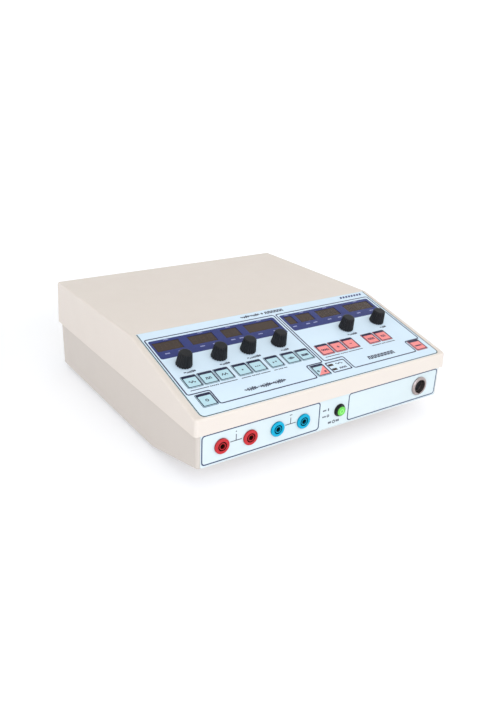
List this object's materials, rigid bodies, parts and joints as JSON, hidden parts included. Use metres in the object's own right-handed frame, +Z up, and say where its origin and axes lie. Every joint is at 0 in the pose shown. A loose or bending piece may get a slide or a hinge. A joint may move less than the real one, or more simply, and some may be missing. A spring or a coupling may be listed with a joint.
{
  "type": "combined interferential and ultrasound therapy unit",
  "caption": "Low wedge-fronted desktop electrotherapy unit with a sloped key and knob panel, lead sockets and a green power button on its front.",
  "frame": {"origin": "middle of the case in plan, on the surface that the rubber feet stand on", "axes": "+X to the right seen from the front, +Y towards the back, +Z up"},
  "size_m": [0.305, 0.327, 0.1067],
  "materials": {
    "cream_cover": "fine moulded texture, satin",
    "cream_base": "fine moulded texture, satin",
    "blue_overlay": "printed polyester, fine velvet texture",
    "front_blue_overlay": "printed polyester, fine velvet texture",
    "panel_metal": "mill finish",
    "smoked_filter": "smoked brown acrylic",
    "display_black": "encapsulated digit blocks",
    "board_green": "solder mask over fibreglass",
    "switch_grey": "moulded",
    "turquoise": "printed key face",
    "salmon": "printed key face",
    "two_colour": "printed key face, turquoise and salmon halves",
    "knob_black": "fluted, satin moulded",
    "shaft_steel": "turned",
    "nut_plate": "plated",
    "socket_red": "moulded, semi-gloss",
    "socket_blue": "moulded, semi-gloss",
    "contact_brass": "turned, nickel flashed",
    "nickel_ring": "satin nickel plate",
    "insert_black": "moulded",
    "bezel_black": "moulded",
    "button_green": "moulded, semi-gloss",
    "inlet_black": "moulded",
    "blade_nickel": "plated",
    "rubber_black": "moulded",
    "screw_zinc": "zinc plated",
    "transformer_core": "varnished laminations and winding"
  },
  "bodies": {
    "case": {"upper_cover": "cream_cover", "lower_base": "cream_base", "front_panel": "panel_metal", "control_overlay": "blue_overlay", "front_overlay": "front_blue_overlay", "left_display_filter": "smoked_filter", "right_display_filter": "smoked_filter", "indicator_lenses": "smoked_filter", "led_displays": "display_black", "control_board": "board_green", "key_switches": "switch_grey", "main_board": "board_green", "transformer": "transformer_core", "potentiometers": "switch_grey", "control_nuts": "nut_plate", "power_bezel": "bezel_black", "power_switch": "switch_grey", "red_socket_1": "socket_red", "red_socket_2": "socket_red", "blue_socket_1": "socket_blue", "blue_socket_2": "socket_blue", "socket_contacts": "contact_brass", "socket_nuts": "nut_plate", "treatment_socket_shell": "nickel_ring", "treatment_socket_insert": "insert_black", "treatment_socket_contacts": "contact_brass", "mains_inlet": "inlet_black", "inlet_pins": "blade_nickel", "rubber_feet": "rubber_black", "cover_screws": "screw_zinc"},
    "knob_1_body": {"knob_1": "knob_black", "knob_shaft_1": "shaft_steel"},
    "knob_2_body": {"knob_2": "knob_black", "knob_shaft_2": "shaft_steel"},
    "knob_3_body": {"knob_3": "knob_black", "knob_shaft_3": "shaft_steel"},
    "knob_4_body": {"knob_4": "knob_black", "knob_shaft_4": "shaft_steel"},
    "knob_5_body": {"knob_5": "knob_black", "knob_shaft_5": "shaft_steel"},
    "knob_6_body": {"knob_6": "knob_black", "knob_shaft_6": "shaft_steel"},
    "turquoise_key_1": {"turquoise_key_1": "turquoise"},
    "turquoise_key_2": {"turquoise_key_2": "turquoise"},
    "turquoise_key_3": {"turquoise_key_3": "turquoise"},
    "turquoise_key_4": {"turquoise_key_4": "turquoise"},
    "turquoise_key_5": {"turquoise_key_5": "turquoise"},
    "turquoise_key_6": {"turquoise_key_6": "turquoise"},
    "turquoise_key_7": {"turquoise_key_7": "turquoise"},
    "turquoise_key_8": {"turquoise_key_8": "turquoise"},
    "red_key_1": {"red_key_1": "salmon"},
    "red_key_2": {"red_key_2": "salmon"},
    "red_key_3": {"red_key_3": "salmon"},
    "red_key_4": {"red_key_4": "salmon"},
    "red_key_5": {"red_key_5": "salmon"},
    "turquoise_corner_key": {"turquoise_corner_key": "turquoise"},
    "two_colour_key": {"two_colour_key": "two_colour"},
    "red_corner_key": {"red_corner_key": "salmon"},
    "power_button": {"power_button": "button_green"},
    "fuse_drawer": {"fuse_drawer": "inlet_black"}
  },
  "joints": [
    {"name": "knob_1_turn", "type": "hinge", "parent": "case", "child": "knob_1_body", "pos_m": [-0.1236, -0.09172, 0.09154], "axis": [0, -0.2538, 0.9673], "range_deg": [-150, 150]},
    {"name": "knob_2_turn", "type": "hinge", "parent": "case", "child": "knob_2_body", "pos_m": [-0.086, -0.09172, 0.09154], "axis": [0, -0.2538, 0.9673], "range_deg": [-150, 150]},
    {"name": "knob_3_turn", "type": "hinge", "parent": "case", "child": "knob_3_body", "pos_m": [-0.053, -0.09172, 0.09154], "axis": [0, -0.2538, 0.9673], "range_deg": [-150, 150]},
    {"name": "knob_4_turn", "type": "hinge", "parent": "case", "child": "knob_4_body", "pos_m": [-0.0162, -0.09172, 0.09154], "axis": [0, -0.2538, 0.9673], "range_deg": [-150, 150]},
    {"name": "knob_5_turn", "type": "hinge", "parent": "case", "child": "knob_5_body", "pos_m": [0.0725, -0.09172, 0.09154], "axis": [0, -0.2538, 0.9673], "range_deg": [-150, 150]},
    {"name": "knob_6_turn", "type": "hinge", "parent": "case", "child": "knob_6_body", "pos_m": [0.1166, -0.09172, 0.09154], "axis": [0, -0.2538, 0.9673], "range_deg": [-150, 150]},
    {"name": "turquoise_key_1_press", "type": "slide", "parent": "case", "child": "turquoise_key_1", "axis": [0, 0.2538, -0.9673], "range_m": [0, 0.0005], "stiffness_N_per_m": 3000},
    {"name": "turquoise_key_2_press", "type": "slide", "parent": "case", "child": "turquoise_key_2", "axis": [0, 0.2538, -0.9673], "range_m": [0, 0.0005], "stiffness_N_per_m": 3000},
    {"name": "turquoise_key_3_press", "type": "slide", "parent": "case", "child": "turquoise_key_3", "axis": [0, 0.2538, -0.9673], "range_m": [0, 0.0005], "stiffness_N_per_m": 3000},
    {"name": "turquoise_key_4_press", "type": "slide", "parent": "case", "child": "turquoise_key_4", "axis": [0, 0.2538, -0.9673], "range_m": [0, 0.0005], "stiffness_N_per_m": 3000},
    {"name": "turquoise_key_5_press", "type": "slide", "parent": "case", "child": "turquoise_key_5", "axis": [0, 0.2538, -0.9673], "range_m": [0, 0.0005], "stiffness_N_per_m": 3000},
    {"name": "turquoise_key_6_press", "type": "slide", "parent": "case", "child": "turquoise_key_6", "axis": [0, 0.2538, -0.9673], "range_m": [0, 0.0005], "stiffness_N_per_m": 3000},
    {"name": "turquoise_key_7_press", "type": "slide", "parent": "case", "child": "turquoise_key_7", "axis": [0, 0.2538, -0.9673], "range_m": [0, 0.0005], "stiffness_N_per_m": 3000},
    {"name": "turquoise_key_8_press", "type": "slide", "parent": "case", "child": "turquoise_key_8", "axis": [0, 0.2538, -0.9673], "range_m": [0, 0.0005], "stiffness_N_per_m": 3000},
    {"name": "red_key_1_press", "type": "slide", "parent": "case", "child": "red_key_1", "axis": [0, 0.2538, -0.9673], "range_m": [0, 0.0005], "stiffness_N_per_m": 3000},
    {"name": "red_key_2_press", "type": "slide", "parent": "case", "child": "red_key_2", "axis": [0, 0.2538, -0.9673], "range_m": [0, 0.0005], "stiffness_N_per_m": 3000},
    {"name": "red_key_3_press", "type": "slide", "parent": "case", "child": "red_key_3", "axis": [0, 0.2538, -0.9673], "range_m": [0, 0.0005], "stiffness_N_per_m": 3000},
    {"name": "red_key_4_press", "type": "slide", "parent": "case", "child": "red_key_4", "axis": [0, 0.2538, -0.9673], "range_m": [0, 0.0005], "stiffness_N_per_m": 3000},
    {"name": "red_key_5_press", "type": "slide", "parent": "case", "child": "red_key_5", "axis": [0, 0.2538, -0.9673], "range_m": [0, 0.0005], "stiffness_N_per_m": 3000},
    {"name": "turquoise_corner_key_press", "type": "slide", "parent": "case", "child": "turquoise_corner_key", "axis": [0, 0.2538, -0.9673], "range_m": [0, 0.0005], "stiffness_N_per_m": 3000},
    {"name": "two_colour_key_press", "type": "slide", "parent": "case", "child": "two_colour_key", "axis": [0, 0.2538, -0.9673], "range_m": [0, 0.0005], "stiffness_N_per_m": 3000},
    {"name": "red_corner_key_press", "type": "slide", "parent": "case", "child": "red_corner_key", "axis": [0, 0.2538, -0.9673], "range_m": [0, 0.0005], "stiffness_N_per_m": 3000},
    {"name": "power_button_press", "type": "slide", "parent": "case", "child": "power_button", "axis": [0, 1, 0], "range_m": [0, 0.002], "stiffness_N_per_m": 1500},
    {"name": "fuse_drawer_slide", "type": "slide", "parent": "case", "child": "fuse_drawer", "axis": [0, 1, 0], "range_m": [0, 0.012]}
  ]
}
